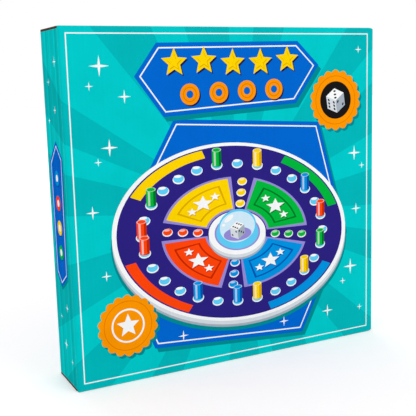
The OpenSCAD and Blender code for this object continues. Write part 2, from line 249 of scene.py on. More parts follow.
def drawn_board(x, y, a, b, turn):
    """A round game board seen at a slant: rim, ring of spots, coloured quarters and pegs."""
    def at(share, angle):
        return on_ellipse(x, y, a * share, b * share, turn, math.radians(angle))

    def oval(share, dy=0.0, count=96):
        return moved([at(share, 360 * k / count) for k in range(count)], 0, dy)

    def sector(inner, outer, start, end, steps=16):
        arc = [start + (end - start) * k / steps for k in range(steps + 1)]
        return [at(outer, t) for t in arc] + [at(inner, t) for t in reversed(arc)]

    def spot(k):
        return at(0.79, 360 * k / 28 + 4)

    shapes = [(oval(1.03, -7.5), TEAL_SHADE), (oval(1.02, -5.0), GREY_DARK), (oval(1.02, -3.0), GREY),
              (oval(1.02), WHITE), (oval(0.985), INDIGO)]
    for k, (ink, dark) in enumerate(PLAYER_INKS):
        for inner, outer, start, fill in ((0.885, 0.972, 22, ink), (0.26, 0.64, 9, LILAC), (0.28, 0.62, 12, ink),
                                          (0.34, 0.56, 20, dark), (0.355, 0.545, 22, ink)):
            shapes.append((sector(inner, outer, 90 * k + start, 90 * k + 90 - start), fill))
        for share, angle, size in ((0.45, 45, 9), (0.46, 29, 4.5), (0.46, 61, 4.5)):
            px, py = at(share, 90 * k + angle)
            star = [(px + (ox - px), py + (oy - py) * 0.7) for ox, oy in spikes(px, py, size, size * 0.45)]
            shapes += [(moved(star, 0.6, -0.9), dark), (star, WHITE)]
        for step in range(3):
            px, py = at(0.34 + 0.125 * step, 90 * k)
            shapes += [(ellipse(px, py - 0.4, 4.3, 3.1, 24), WHITE), (ellipse(px, py, 3.7, 2.6, 24), ink),
                       (ellipse(px - 0.5, py + 1.4, 2.4, 0.9, 16), lighter(ink))]
    for k in range(28):
        px, py = spot(k)
        shapes += [(ellipse(px, py - 0.5, 4.9, 3.5, 24), WHITE), (ellipse(px, py, 4.3, 3.0, 24), SKY_PALE),
                   (ellipse(px - 0.6, py + 1.9, 3.1, 1.1, 16), WHITE)]
    shapes += [(oval(0.25, -4.2), GREY_DARK), (oval(0.25, -2.6), GREY), (oval(0.25), WHITE), (oval(0.2), LILAC),
               (oval(0.185), SKY_PALE), (ellipse(x, y + 5.5, 17, 13.5, 48), SKY_PALE),
               (ellipse(x, y + 4.8, 15.8, 12.4, 48), lighter(SKY_PALE, 0.6)),
               (ellipse(x, y - 1.0, 12.5, 5.4, 40), LILAC)]
    shapes += drawn_die(x, y + 2.0, 7.4, (6, 2, 3), turn=6)
    shapes += [(ellipse(x - 7.5, y + 12.2, 4.6, 1.9, 24, 32), WHITE),
               (ellipse(x - 12.6, y + 7.4, 1.5, 1.1, 16), WHITE)]
    pegs = [(1, 2), (3, 3), (6, 1), (8, 0), (12, 0), (14, 2), (15, 2), (19, 3), (21, 3), (22, 1), (25, 1), (27, 0)]
    for k, player in sorted(pegs, key=lambda peg: -spot(peg[0])[1]):
        shapes += drawn_peg(*spot(k), 4.0, 11.5, PLAYER_INKS[player])
    return shapes


FRAME_INSET = 5.2                           # from the board's edge to the white border line
RAYS_X, RAYS_Y = 138.0, 120.0
SIDE_REACH = 330                            # of the rays on the walls


def front_print():
    """The lid: rays, border, two blue plaques, a round game board and two badges."""
    shapes = sunburst(RAYS_X, RAYS_Y, 320)
    shapes += plaque([(62, 22), (196, 12), (240, 96), (214, 188), (84, 196), (30, 104)])
    shapes += plaque([(54, 228), (76, 198), (192, 204), (214, 234), (194, 253), (72, 252)])
    shapes += drawn_board(136, 104, 103, 70, -7)
    for k in range(5):
        x, y = 86 + 24.5 * k, 237.5 + 1.2 * math.sin(1.9 * k)
        shapes += [(spikes(x + 1.1, y - 1.2, 11, 5.0), NIGHT), (spikes(x, y, 11, 5.0), YELLOW),
                   (spikes(x, y, 6.6, 3.0), YELLOW_DARK), (spikes(x - 0.3, y + 0.4, 6.0, 2.7), YELLOW)]
    for k in range(4):
        x, y = 98 + 24.5 * k, 214.0 + 0.6 * k
        shapes += rings(x + 1.0, y - 1.1, (8, NIGHT))
        shapes += rings(x, y, (8, ORANGE), (5.6, ORANGE_DARK), (5.0, ORANGE), (2.9, BLUE))
    shapes += badge(231, 205, 25) + rings(231, 205, (15.4, BLACK)) + drawn_die(231, 204.6, 10.2, (3, 6, 2), 8)
    shapes += badge(41, 44, 24) + rings(41, 44, (13.2, WHITE), (11.8, ORANGE)) + [(spikes(41, 44, 9.4, 4.2), WHITE)]
    shapes += sparkles([(28, 236, 7.5), (20, 222, 3.2), (46, 214, 5), (33, 178, 6.5), (24, 168, 3), (18, 132, 5),
                        (250, 160, 6.5), (258, 149, 3), (252, 112, 5), (246, 62, 7), (238, 50, 3.2), (222, 26, 5.5),
                        (256, 24, 3), (86, 28, 4.5), (178, 24, 4.5), (26, 84, 4), (254, 246, 3.4)])
    top = HEIGHT - LID_LO.z / MM
    return shapes + pinline(FRAME_INSET - 0.5, FRAME_INSET, WIDTH - FRAME_INSET - 1.0, top - FRAME_INSET + 0.6)


def left_print():
    """The hinge wall, seen left of the front: rays go on, with a blue plaque in the middle."""
    shapes = moved_all(sunburst(RAYS_X, RAYS_Y, SIDE_REACH), DEPTH, 0)
    shapes += side_plaque([(8, 84), (20, 74), (36, 84), (39, 172), (25, 184), (7, 168)])
    for k, (ink, _) in enumerate(PLAYER_INKS):
        y = 101 + 18.5 * k
        shapes += [(circle(23.5, y - 0.8, 5.6, 32), BLUE_DARK), (circle(22.8, y, 5.6, 32), ink),
                   (circle(22.8, y, 2.6, 24), WHITE)]
    return shapes + sparkles([(33, 240, 4.2), (15, 226, 3), (28, 206, 3.4), (12, 198, 2.4), (30, 60, 3.6),
                              (14, 50, 2.4), (22, 30, 4.2), (36, 20, 2.4)])


def right_print():
    """The flap that closes over the right wall."""
    shapes = moved_all(sunburst(RAYS_X, RAYS_Y, SIDE_REACH), -WIDTH, 0)
    shapes += side_plaque([(8, 92), (22, 80), (30, 96), (30, 168), (18, 180), (8, 164)])
    return shapes + sparkles([(20, 236, 4), (11, 214, 2.6), (24, 200, 3), (12, 60, 3.2), (22, 40, 4), (10, 24, 2.4)])


def back_print():
    """The back: rays, border, a wide plaque, a die in a ring and four rows of a peg, an arrow and two spots."""
    shapes = sunburst(134, 132, 320, turn=10)
    shapes += plaque([(40, 60), (226, 52), (238, 196), (196, 214), (60, 208), (28, 150)])
    shapes += rings(90, 138, (38, INDIGO), (29, BLUE))
    for k in range(16):
        shapes += rings(*around(90, 138, 33.5, 2 * math.pi * k / 16), (3.6, PLAYER_INKS[k % 4][0]), count=20)
    shapes += drawn_die(90, 137, 17, (4, 1, 5))
    for row, inks in enumerate(PLAYER_INKS):
        y = 178 - 30 * row
        shapes += rings(151, y + 1.6, (12.4, WHITE), (11.4, LILAC), count=40)
        shapes += drawn_peg(151, y - 6, 5.2, 15, inks)
        shapes.append((moved([(0, -2), (7, -2), (7, -5), (14, 0), (7, 5), (7, 2), (0, 2)], 165, y), WHITE))
        for x, fill in ((190, SKY_PALE), (206, inks[0])):
            shapes += rings(x, y - 0.8, (6.4, BLUE_DARK), count=32) + rings(x, y, (6.4, WHITE), (5.2, fill), count=32)
    shapes += badge(222, 226, 22) + [(spikes(222, 226, 12, 5.4), WHITE)]
    shapes += sparkles([(30, 236, 7), (60, 228, 4), (24, 36, 6), (120, 30, 5), (196, 28, 6.5), (244, 34, 4),
                        (148, 236, 5)])
    return shapes + pinline(FRAME_INSET, FRAME_INSET, BASE_RIGHT_X - LEFT_X - FRAME_INSET, HEIGHT - FRAME_INSET)


def wall_print(length):
    """The top and bottom walls: x runs along the path from the start, y along the wall."""
    shapes = moved_all(sunburst(RAYS_Y, RAYS_X, SIDE_REACH, turn=20), -150, 0)
    shapes += side_plaque([(10, 96), (22, 84), (34, 96), (34, 174), (22, 186), (10, 174)])
    for k, (ink, _) in enumerate(PLAYER_INKS):
        shapes += [(circle(22, 110 + 17 * k, 5, 32), ink), (circle(22, 110 + 17 * k, 2.2, 24), WHITE)]
    shapes += sparkles([(21, y, 4) for y in (24, 58, 212, 246)])
    return [(p, ink) for p, ink in shapes if min(x for x, _ in p) < length]


# ---- flat regions, split along a print ----


def add_cuts(cuts, points, edges):
    """Adds the ends of cut lines to the points, and the lines to the edges."""
    for a, b in cuts:
        edges.append((len(points), len(points) + 1))
        points += [Vector(a), Vector(b)]


def tiles(outline, shapes, cuts):
    """Splits an outline along the shapes and cut lines: its points, triangles and the top shape of each."""
    points, edges, faces = [], [], []
    for polygon in [outline] + [shape for shape, _ in shapes]:
        turn = sum(a[0] * b[1] - a[1] * b[0] for a, b in zip(polygon, polygon[1:] + polygon[:1]))
        first = len(points)
        points += [Vector(p) for p in (polygon if turn > 0 else polygon[::-1])]
        faces.append(list(range(first, len(points))))
    add_cuts(cuts, points, edges)
    spots, _, triangles, _, _, origins = delaunay_2d_cdt(points, edges, faces, 1, 1e-4)
    kept = [(t, max(o) - 1) for t, o in zip(triangles, origins) if 0 in o]
    kept = [(t, top) for t, top in kept if top < 0 or shapes[top][1] is not None]
    spots, faces, _ = compact(spots, [t for t, _ in kept])
    return spots, [(face, top) for face, (_, top) in zip(faces, kept)]


def compact(spots, faces):
    """Leaves out points that no face has: the points left, the faces with new numbers, and those numbers."""
    numbers = {i: k for k, i in enumerate(sorted({i for face in faces for i in face}))}
    return [tuple(spots[i]) for i in numbers], [[numbers[i] for i in face] for face in faces], numbers


def border(triangles):
    """The directed edges that only one triangle has."""
    edges = {edge: True for face in triangles for edge in zip(face, face[1:] + face[:1])}
    return [(a, b) for a, b in edges if (b, a) not in edges]


def within(polygon, point):
    """Whether a point lies inside a polygon."""
    inside = False
    for (x0, y0), (x1, y1) in zip(polygon[-1:] + polygon[:-1], polygon):
        if (y0 > point[1]) != (y1 > point[1]) and point[0] < (x1 - x0) * (point[1] - y0) / (y1 - y0) + x0:
            inside = not inside
    return inside


# ---- folded board ----


def ahead_of(angle):
    return Vector((math.cos(angle), math.sin(angle)))


def outside_of(angle):
    return Vector((math.sin(angle), -math.cos(angle)))


class Path:
    """The outer line of folded board in one plane, in mm. Of its runs, a number is a straight length,
    and a pair is a bend to the left, with its radius and degrees."""

    def __init__(self, start, heading, *runs):
        self.pieces, self.length = [], 0.0
        point, angle = Vector(start), math.radians(heading)
        for run in runs:
            radius, degrees = run if isinstance(run, tuple) else (0, 0)
            turn = math.radians(degrees)
            length = radius * turn or run
            where = point - outside_of(angle) * radius if radius else point.copy()
            self.pieces.append((self.length, where, angle, length, radius))
            angle += turn
            point = where + (outside_of(angle) * radius if radius else ahead_of(angle) * length)
            self.length += length

    def at(self, s):
        """The point at s and the outward direction there."""
        for start, where, angle, _, radius in reversed(self.pieces):
            if s >= start - 1e-6 or start == 0:
                break
        if not radius:
            return where + ahead_of(angle) * (s - start), outside_of(angle)
        angle += (s - start) / radius
        return where + outside_of(angle) * radius, outside_of(angle)

    def bends(self):
        """The s values that a bend needs as cut lines."""
        cuts = set()
        for start, _, _, length, radius in self.pieces:
            if radius:
                steps = max(4, round(math.degrees(length / radius) / 15))
                cuts |= {round(start + length * k / steps, 4) for k in range(steps + 1)}
        return sorted(c for c in cuts if 1e-3 < c < self.length - 1e-3)


def inked_mesh(name, vertices, faces, inks):
    """A mesh with one ink per face, kept for every corner of it."""
    mesh = bpy.data.meshes.new(name)
    mesh.from_pydata(vertices, [], faces)
    colours = [c for polygon in mesh.polygons for _ in polygon.vertices for c in inks[polygon.index]]
    mesh.color_attributes.new("ink", "FLOAT_COLOR", "CORNER")
    mesh.color_attributes["ink"].data.foreach_set("color", colours)
    return mesh


def placed(name, data):
    """A new object in the scene."""
    made = bpy.data.objects.new(name, data)
    bpy.context.scene.collection.objects.link(made)
    return made


def stands_for(piece, body, node):
    """Puts a piece on a body in place of a CAD node."""
    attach(piece, body)
    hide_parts(node)
    return piece


OUTSIDE, RIM, INSIDE = range(3)             # places of a board's materials


def folded_board(name, body, node, slot, materials, path, plane, extent, outline=None, shapes=(),
                 flutes_along="extent", end_bend=0.0, thickness=BOARD):
    """A closed sheet of board along path, extent long: printed outside, kraft inside, raw at its edges.
    plane is (origin, first axis, second axis, extent axis). end_bend rounds both ends over to a fold."""
    origin, first, second, along = (Vector(v) for v in plane)
    arc = end_bend * math.pi / 2
    total = extent - 2 * end_bend + 2 * arc if end_bend else extent
    outline = outline or rectangle(0, 0, path.length, total)

    def place(s, t, depth):
        """Where a point of the flat sheet ends up when folded, and its normal."""
        point, out = path.at(s)
        sink, tilt, z = 0.0, 0.0, t
        if end_bend:
            if t < arc:
                tilt = -(arc - t) / end_bend
                z = end_bend + end_bend * math.sin(tilt)
            elif t > total - arc:
                tilt = (t - total + arc) / end_bend
                z = extent - end_bend + end_bend * math.sin(tilt)
            else:
                z = t - arc + end_bend
            sink = end_bend * (1 - math.cos(tilt))
        out3 = first * out.x + second * out.y
        normal = (out3 * math.cos(tilt) + along * math.sin(tilt)).normalized()
        where = origin + (first * point.x + second * point.y) * MM + along * z * MM
        return where - out3 * sink * MM - normal * depth * MM, normal

    cuts = [((s, -1.0), (s, total + 1.0)) for s in path.bends()]
    if end_bend:
        cuts += [((-1.0, t), (path.length + 1.0, t)) for k in range(5)
                 for t in (arc * k / 4, total - arc * k / 4) if 1e-3 < t < total - 1e-3]
    shapes = shapes or [(outline, TEAL)]
    spots, skin = tiles(outline, shapes, cuts)
    rim = border([face for face, _ in skin])
    rim_points = sorted({i for edge in rim for i in edge})
    rim_index = {i: k for k, i in enumerate(rim_points)}
    lined = [Vector(spots[i]) for i in rim_points]
    inner_edges = [(rim_index[a], rim_index[b]) for a, b in rim]
    add_cuts(cuts, lined, inner_edges)
    inner_spots, _, inner_faces, made_of, _, _ = delaunay_2d_cdt(lined, inner_edges, [], 0, 1e-4)
    used = {i: k for k, olds in enumerate(made_of) for i in olds}
    holes = [points for points, ink in shapes if ink is None]

    def solid(face):
        middle = sum((inner_spots[i] for i in face), Vector((0, 0))) / 3
        return within(outline, middle) and not any(within(hole, middle) for hole in holes)

    inner_spots, inside, numbers = compact(inner_spots, [face for face in inner_faces if solid(face)])
    base = len(spots)
    outer, inner = ([place(s, t, depth) for s, t in some] for some, depth in ((spots, 0.0), (inner_spots, thickness)))
    vertices = [where for where, _ in outer + inner]
    normals = [normal for _, normal in outer] + [-normal for _, normal in inner]
    faces = [face for face, _ in skin]
    faces += [[b, a] + [base + numbers[used[rim_index[i]]] for i in (a, b)] for a, b in rim]
    faces += [[base + i for i in reversed(face)] for face in inside]
    kinds = [OUTSIDE] * len(skin) + [RIM] * len(rim) + [INSIDE] * len(inside)
    inks = [shapes[top][1] if top >= 0 else TEAL for _, top in skin] + [WHITE] * (len(rim) + len(inside))

    mesh = inked_mesh(name, vertices, faces, inks)
    for material in materials:
        mesh.materials.append(material)
    mesh.polygons.foreach_set("material_index", kinds)
    flat = spots + inner_spots
    near, far, flutes, loop_normals = [], [], [], []
    for polygon in mesh.polygons:
        for vertex in polygon.vertices:
            s, t = flat[vertex]
            across = s if flutes_along == "extent" else t
            rim_face = kinds[polygon.index] == RIM
            near += [s * MM, t * MM]
            far += [(path.length - s) * MM, (total - t) * MM]
            flutes += [across * MM, (1.0 if vertex >= base else 0.0) if rim_face else t * MM]
            loop_normals.append(polygon.normal if rim_face else normals[vertex])
    for layer, values in (("near", near), ("far", far), ("flutes", flutes)):
        mesh.uv_layers.new(name=layer)
        mesh.uv_layers[layer].data.foreach_set("uv", values)
    mesh.normals_split_custom_set(loop_normals)
    mesh.validate()
    stands_for(placed(name, mesh), body, node)


# ---- materials ----


class Nodes:
    """Short hand for the node tree of a material or world."""

    def __init__(self, owner):
        owner.use_nodes = True
        self.owner, self.tree = owner, owner.node_tree
        self.shader = self.tree.nodes.get("Principled BSDF") or self.tree.nodes["Background"]

    def put(self, socket, value):
        """Gives an input a value, or a link from another socket."""
        if isinstance(value, bpy.types.NodeSocket):
            self.tree.links.new(value, socket)
        else:
            socket.default_value = value

    def add(self, kind, values=(), **settings):
        """A node of a kind. values go to its inputs by name or number."""
        made = self.tree.nodes.new(kind)
        for key, value in settings.items():
            setattr(made, key, value)
        for key, value in dict(values).items():
            self.put(made.inputs[key], value)
        return made

    def set(self, **values):
        """Sets the shader's inputs. Underscores stand for blanks."""
        for key, value in values.items():
            self.put(self.shader.inputs[key.replace("_", " ")], value)
        return self.owner

    def math(self, operation, *values):
        return self.add("ShaderNodeMath", enumerate(values), operation=operation).outputs[0]

    def object_place(self):
        return self.add("ShaderNodeTexCoord").outputs["Object"]

    def noise(self, scale, detail=3.0, vector=None):
        return self.add("ShaderNodeTexNoise", {"Scale": scale, "Detail": detail, "Roughness": 0.55,
                                               "Vector": vector or self.object_place()}).outputs[0]

    def ramp(self, value, low, high, start=0.0, end=1.0):
        return self.add("ShaderNodeMapRange", {"Value": value, "From Min": low, "From Max": high,
                                               "To Min": start, "To Max": end}).outputs[0]

    def patches(self, scale, detail=3.0, start=0.0, end=1.0, vector=None):
        """Noise whose middle range is stretched from start to end."""
        return self.ramp(self.noise(scale, detail, vector), 0.3, 0.7, start, end)

    def mix(self, share, a, b, blend="MIX"):
        return self.add("ShaderNodeMix", {0: share, 6: a, 7: b}, data_type="RGBA", blend_type=blend).outputs[2]

    def toned(self, colour, tone):
        """A colour, darker or lighter by a grey tone."""
        grey = self.add("ShaderNodeCombineColor", {0: tone, 1: tone, 2: tone}).outputs[0]
        return self.mix(1.0, colour, grey, "MULTIPLY")

    def bump(self, height, distance, strength=1.0, under=None):
        values = {"Height": height, "Distance": distance * MM, "Strength": strength}
        if under is not None:
            values["Normal"] = under
        return self.add("ShaderNodeBump", values).outputs[0]

    def ink(self):
        return self.add("ShaderNodeVertexColor", layer_name="ink").outputs["Color"]

    def uv(self, name):
        made = self.add("ShaderNodeUVMap", uv_map=name)
        return self.add("ShaderNodeSeparateXYZ", {0: made.outputs[0]}).outputs

    def flutes(self, across):
        """A sine from -1 to 1 that follows the flutes."""
        return self.math("SINE", self.math("MULTIPLY", across, 2 * math.pi / (FLUTE_PITCH * MM)))


def new_nodes(name):
    return Nodes(bpy.data.materials.new(name))


def print_material(name, ridge, painted_flute_shade, shine):
    """Litho print on board under satin varnish: flutes, mottled ink, painted shade that darkens and lightens the ink
    along the flutes, and rims with specks of wear that also act as a faint painted highlight along the fold.
    """
    n = new_nodes(name)
    ink = n.ink()
    near, far = n.uv("near"), n.uv("far")
    rim = n.math("MINIMUM", n.math("MINIMUM", near[0], near[1]), n.math("MINIMUM", far[0], far[1]))
    grain = n.ramp(n.noise(2600.0, 2.0), 0.25, 0.75, 0.985, 1.015)
    mottled = n.toned(ink, n.math("MULTIPLY", n.patches(38.0, 4.0, 0.955, 1.03), grain))
    scuffs = n.ramp(n.noise(420.0, 5.0), 0.5, 0.62)
    wear_and_painted_highlight = n.math("MULTIPLY", n.ramp(rim, 0.0, 0.7 * MM, 1.0, 0.0), scuffs)
    across = n.uv("flutes")[0]
    wave = n.flutes(across)
    sag = n.noise(1.0, 2.0, n.add("ShaderNodeCombineXYZ", {0: n.math("MULTIPLY", across, 170.0)}).outputs[0])
    # painted shade: the ink is made darker and lighter along the flutes and their sag, standing in for light and
    # shade on the ridges
    shade = n.math("MULTIPLY_ADD", n.ramp(sag, 0.35, 0.65, -1.0, 1.0), painted_flute_shade,
                   n.math("MULTIPLY_ADD", wave, painted_flute_shade * 0.6, 1.0))
    # pale specks near the rims: partly wear, partly a painted highlight along the fold
    colour = n.mix(n.math("MULTIPLY", wear_and_painted_highlight, 0.1), n.toned(mottled, shade), linear(190, 205, 200))
    ridges = n.bump(n.math("ADD", wave, n.math("MULTIPLY", sag, 2.0)), ridge, 0.5,
                    n.bump(n.noise(1500.0), 0.012, 0.3))
    return n.set(Base_Color=colour, Roughness=n.patches(90.0, 3.0, 0.36, 0.46), Normal=ridges,
                 Specular_IOR_Level=shine)


def raw_edge_material():
    """Cut edge of corrugated board: two liners and the fluted sheet between them, with painted shade: the hollows are
    painted near-black and the paper's brown is darkened a little.
    """
    n = new_nodes("raw_board_edge")
    across, depth, _ = n.uv("flutes")
    wave = n.math("MULTIPLY_ADD", n.flutes(across), 0.34, 0.5)
    sheet = n.ramp(n.math("ABSOLUTE", n.math("SUBTRACT", depth, wave)), 0.07, 0.15, 1.0, 0.0)
    liner = n.ramp(n.math("ABSOLUTE", n.math("SUBTRACT", depth, 0.5)), 0.36, 0.42)
    solid = n.math("MAXIMUM", sheet, liner)
    # the paper's browns are kraft, darkened a little as painted shade of the slot
    paper = n.mix(n.patches(900.0, 4.0), linear(76, 47, 25), linear(132, 90, 52))
    # painted shade: where the liners and the fluted sheet leave hollows, the edge is painted near-black
    return n.set(Base_Color=n.mix(solid, linear(16, 9, 5), paper), Roughness=0.9,
                 Normal=n.bump(solid, 0.2, 0.8), Specular_IOR_Level=0.2)


def kraft_material():
    """Brown kraft liner: fibres, flecks and a faint wash of the flutes."""
    n = new_nodes("kraft_liner")
    where = n.object_place()
    drawn = n.add("ShaderNodeMapping", {"Vector": where, "Scale": (1.0, 1.0, 0.18)}).outputs[0]
    fibres = n.patches(1100.0, 5.0, vector=drawn)
    flecks = n.ramp(n.noise(700.0, 2.0, where), 0.68, 0.74)
    colour = n.mix(fibres, linear(168, 124, 82), linear(192, 150, 106))
    colour = n.mix(n.math("MULTIPLY", n.patches(30.0, vector=where), 0.3), colour, linear(150, 108, 70))
    colour = n.mix(n.math("MULTIPLY", flecks, 0.5), colour, linear(120, 82, 50))
    wave = n.flutes(n.uv("flutes")[0])
    colour = n.mix(n.ramp(wave, -1.0, 1.0, 0.0, 0.12), colour, linear(140, 100, 64))
    return n.set(Base_Color=colour, Roughness=0.82, Normal=n.bump(wave, 0.07, 0.5, n.bump(fibres, 0.03, 0.6)),
                 Specular_IOR_Level=0.25)


def plastic_material(name, ink=None, rough=0.3, soft=0.0):
    """Moulded plastic: slight mottle, fine orange peel and swirl in its gloss."""
    n = new_nodes(name)
    return n.set(Base_Color=n.toned(ink or n.ink(), n.patches(60.0, 3.0, 0.94, 1.03)),
                 Roughness=n.patches(140.0, 4.0, rough - 0.06, rough + 0.08),
                 Normal=n.bump(n.noise(700.0, 2.0), 0.02, 0.35),
                 Specular_IOR_Level=0.45, Subsurface_Weight=soft, Subsurface_Scale=0.002)


def clear_material(name, tint, cover, rough=0.05):
    """Clear moulding: faint tint, flow marks in its gloss. cover is how much it hides."""
    n = new_nodes(name)
    flow = n.noise(45.0, 4.0)
    return n.set(Base_Color=n.mix(n.patches(80.0, 2.0), tint, linear(252, 254, 255)),
                 Roughness=n.ramp(flow, 0.3, 0.7, rough, rough + 0.06),
                 Alpha=n.ramp(flow, 0.3, 0.7, cover * 0.9, cover * 1.1), Specular_IOR_Level=1.0,
                 Normal=n.bump(n.noise(60.0, 2.0), 0.02, 0.2))


def steel_material(name, base, rough):
    n = new_nodes(name)
    scratches = n.noise(1600.0)
    return n.set(Base_Color=n.mix(n.patches(120.0), base, lighter(base, 0.25)), Metallic=1.0,
                 Roughness=n.ramp(scratches, 0.3, 0.7, rough, rough + 0.15), Normal=n.bump(scratches, 0.01, 0.4))


def paper_material():
    """Uncoated paper that takes a print."""
    n = new_nodes("uncoated_paper")
    fibres = n.noise(1400.0, 5.0)
    return n.set(Base_Color=n.toned(n.ink(), n.ramp(fibres, 0.3, 0.7, 0.94, 1.02)), Roughness=0.75,
                 Normal=n.bump(fibres, 0.02, 0.5), Specular_IOR_Level=0.25)


def paper_edge_material():
    """The edges of the leaflet's folded pages."""
    n = new_nodes("leaflet_pages")
    pages = n.math("SINE", n.math("MULTIPLY", n.uv("flutes")[1], 2 * math.pi * 6))
    return n.set(Base_Color=n.mix(n.ramp(pages, -1.0, 0.2), linear(150, 150, 146), linear(238, 238, 232)),
                 Roughness=0.8, Normal=n.bump(pages, 0.05, 0.6))


def card_material():
    """Printed card under the clear top."""
    n = new_nodes("game_card_print")
    return n.set(Base_Color=n.toned(n.ink(), n.patches(900.0, 4.0, 0.95, 1.03)),
                 Roughness=n.patches(60.0, 3.0, 0.3, 0.42), Normal=n.bump(n.noise(1200.0), 0.015, 0.4),
                 Specular_IOR_Level=0.4)


PRINT = print_material("litho_print_front", 0.010, 0.008, 0.012)
# the walls' copy has stronger flute bumps, a much stronger painted shade along the flutes than the front's, and
# almost no gloss
SIDE_PRINT = print_material("litho_print_side", 0.05, 0.22, 0.0005)
RAW_EDGE = raw_edge_material()
KRAFT = kraft_material()
PAPER = paper_material()
PAPER_EDGE = paper_edge_material()
CARD = card_material()
CLEAR_SHEET = clear_material("clear_sheet", linear(206, 232, 240), 0.035)
CLEAR = clear_material("clear_moulding", linear(226, 242, 246), 0.34)
DOME_CLEAR = clear_material("clear_dome", linear(214, 238, 250), 0.19, 0.03)
WHITE_PLASTIC = plastic_material("white_moulding", linear(236, 238, 240))
INKED_PLASTIC = plastic_material("housing_moulding")
RUBBER = plastic_material("matt_rubber", linear(48, 48, 50), 0.7)
SPRING_STEEL = steel_material("bright_steel", linear(176, 178, 182), 0.22)
PLATE_STEEL = steel_material("plate_steel", linear(124, 131, 142), 0.3)
SCREW_STEEL = steel_material("zinc_plating", linear(150, 152, 156), 0.34)

# ---- the carton ----


def upright(z=0.0):
    """The plane of a path in x and y, whose board goes up from z, in mm."""
    return Vector((0, 0, z)) * MM, (1, 0, 0), (0, 1, 0), (0, 0, 1)


def rounded_end(length, width, r, along):
    """A board's outline whose corners at the far end of the path are rounded: along it by along, else by r."""
    points = [(0.0, 0.0)]
    for cx, cy, start in ((length - along, r, -90), (length - along, width - r, 0)):
        turns = [math.radians(start + 15 * k) for k in range(7)]
        points += [(cx + along * math.cos(t), cy + r * math.sin(t)) for t in turns]
    return points + [(0.0, width)]


def carton_board(name, body, node, path, plane, extent, **settings):
    """A printed board of the carton. Only the lid and the back take the front's print material."""
    outside = PRINT if node in ("lid_panel", "back_panel") else SIDE_PRINT
    folded_board(name, body, node, "printed_board", (outside, RAW_EDGE, KRAFT), path, plane, extent, **settings)


def folded_round(start, heading, width):
    """A path across the front or back with a fold at both ends."""
    return Path(start, heading, (FOLD_R, 90), width - 2 * FOLD_R, (FOLD_R, 90))


def make_lid():
    low = LID_LO.z / MM
    path, height = folded_round((LEFT_X, WALL_FRONT_Y), -90, WIDTH), HEIGHT - low
    carton_board("lid_board", "lid", "lid_panel", path, upright(low), height,
                 outline=rounded_end(path.length, height, 3.6, 6.2), shapes=moved_all(front_print(), UNROLLED, 0))


def make_closing_flap():
    length, low, height = FLAP_HI.y / MM - WALL_FRONT_Y, FLAP_LO.z / MM, (FLAP_HI.z - FLAP_LO.z) / MM
    carton_board("closing_flap_board", "closing_flap", "closing_flap",
                 Path((RIGHT_X, WALL_FRONT_Y), 90, length), upright(low), height,
                 outline=rounded_end(length, height, 6.0, 6.0), shapes=moved_all(right_print(), 0, -low))


def make_side_walls():
    low, height = HINGE_LO.z / MM, (HINGE_HI.z - HINGE_LO.z) / MM
    length = BACK_IN_Y - WALL_FRONT_Y - FOLD_R + BOARD
    rays = sunburst(RAYS_X, RAYS_Y, SIDE_REACH)
    for name, node, start, heading, shapes in (
            ("hinge_wall_board", "hinge_wall", (LEFT_X, WALL_FRONT_Y + length), -90,
             moved_all(left_print(), -(DEPTH - FOLD_R - length), -low)),
            ("right_wall_board", "right_wall", (BASE_RIGHT_X, WALL_FRONT_Y), 90, moved_all(rays, -WIDTH, -low))):
        carton_board(name, "carton", node, Path(start, heading, length), upright(low),
                     height, shapes=shapes)


def make_back():
    path = folded_round((BASE_RIGHT_X, REAR_Y - FOLD_R), 90, BASE_RIGHT_X - LEFT_X)
    carton_board("back_board", "carton", "back_panel", path, upright(), HEIGHT, end_bend=FOLD_R,
                 shapes=moved_all(back_print(), UNROLLED, UNROLLED))


def make_rolled_wall(name, node, top_z, outer_first):
    """A top or bottom wall: straight layer, round roll at the front, straight layer."""
    roll, back = ROLLED / 2, REAR_Y - FOLD_R
    straight = back - WALL_FRONT_Y - roll
    path = Path((back, top_z), 180, straight, (roll, 180), straight)
    width, inset = BASE_RIGHT_X - LEFT_X, BOARD + 0.2
    if outer_first:
        outline = [(0, 0), (straight, 0), (straight, inset), (path.length, inset),
                   (path.length, width - inset), (straight, width - inset), (straight, width), (0, width)]
        shapes = wall_print(straight)
    else:
        turn = path.length - straight
        outline = [(0, inset), (turn, inset), (turn, 0), (path.length, 0), (path.length, width),
                   (turn, width), (turn, width - inset), (0, width - inset)]
        shapes = moved_all(wall_print(straight), turn, 0)
    plane = (Vector((LEFT_X, 0, 0)) * MM, (0, 1, 0), (0, 0, 1), (1, 0, 0))
    carton_board(name, "carton", node, path, plane, width, outline=outline, shapes=shapes, flutes_along="path")


def make_corner_flaps():
    """Four plain flaps, trapped between the layers of the rolled walls."""
    for number, (low, high) in enumerate(islands("corner_flaps"), 1):
        path = Path((low.x / MM, low.z / MM), 0, (high.x - low.x) / MM)
        plane = ((0, low.y, 0), (1, 0, 0), (0, 0, 1), (0, 1, 0))
        folded_board(f"corner_flap_{number}", "carton", "corner_flaps", "kraft_board", (KRAFT, RAW_EDGE, KRAFT),
                     path, plane, (high.y - low.y) / MM, flutes_along="path")


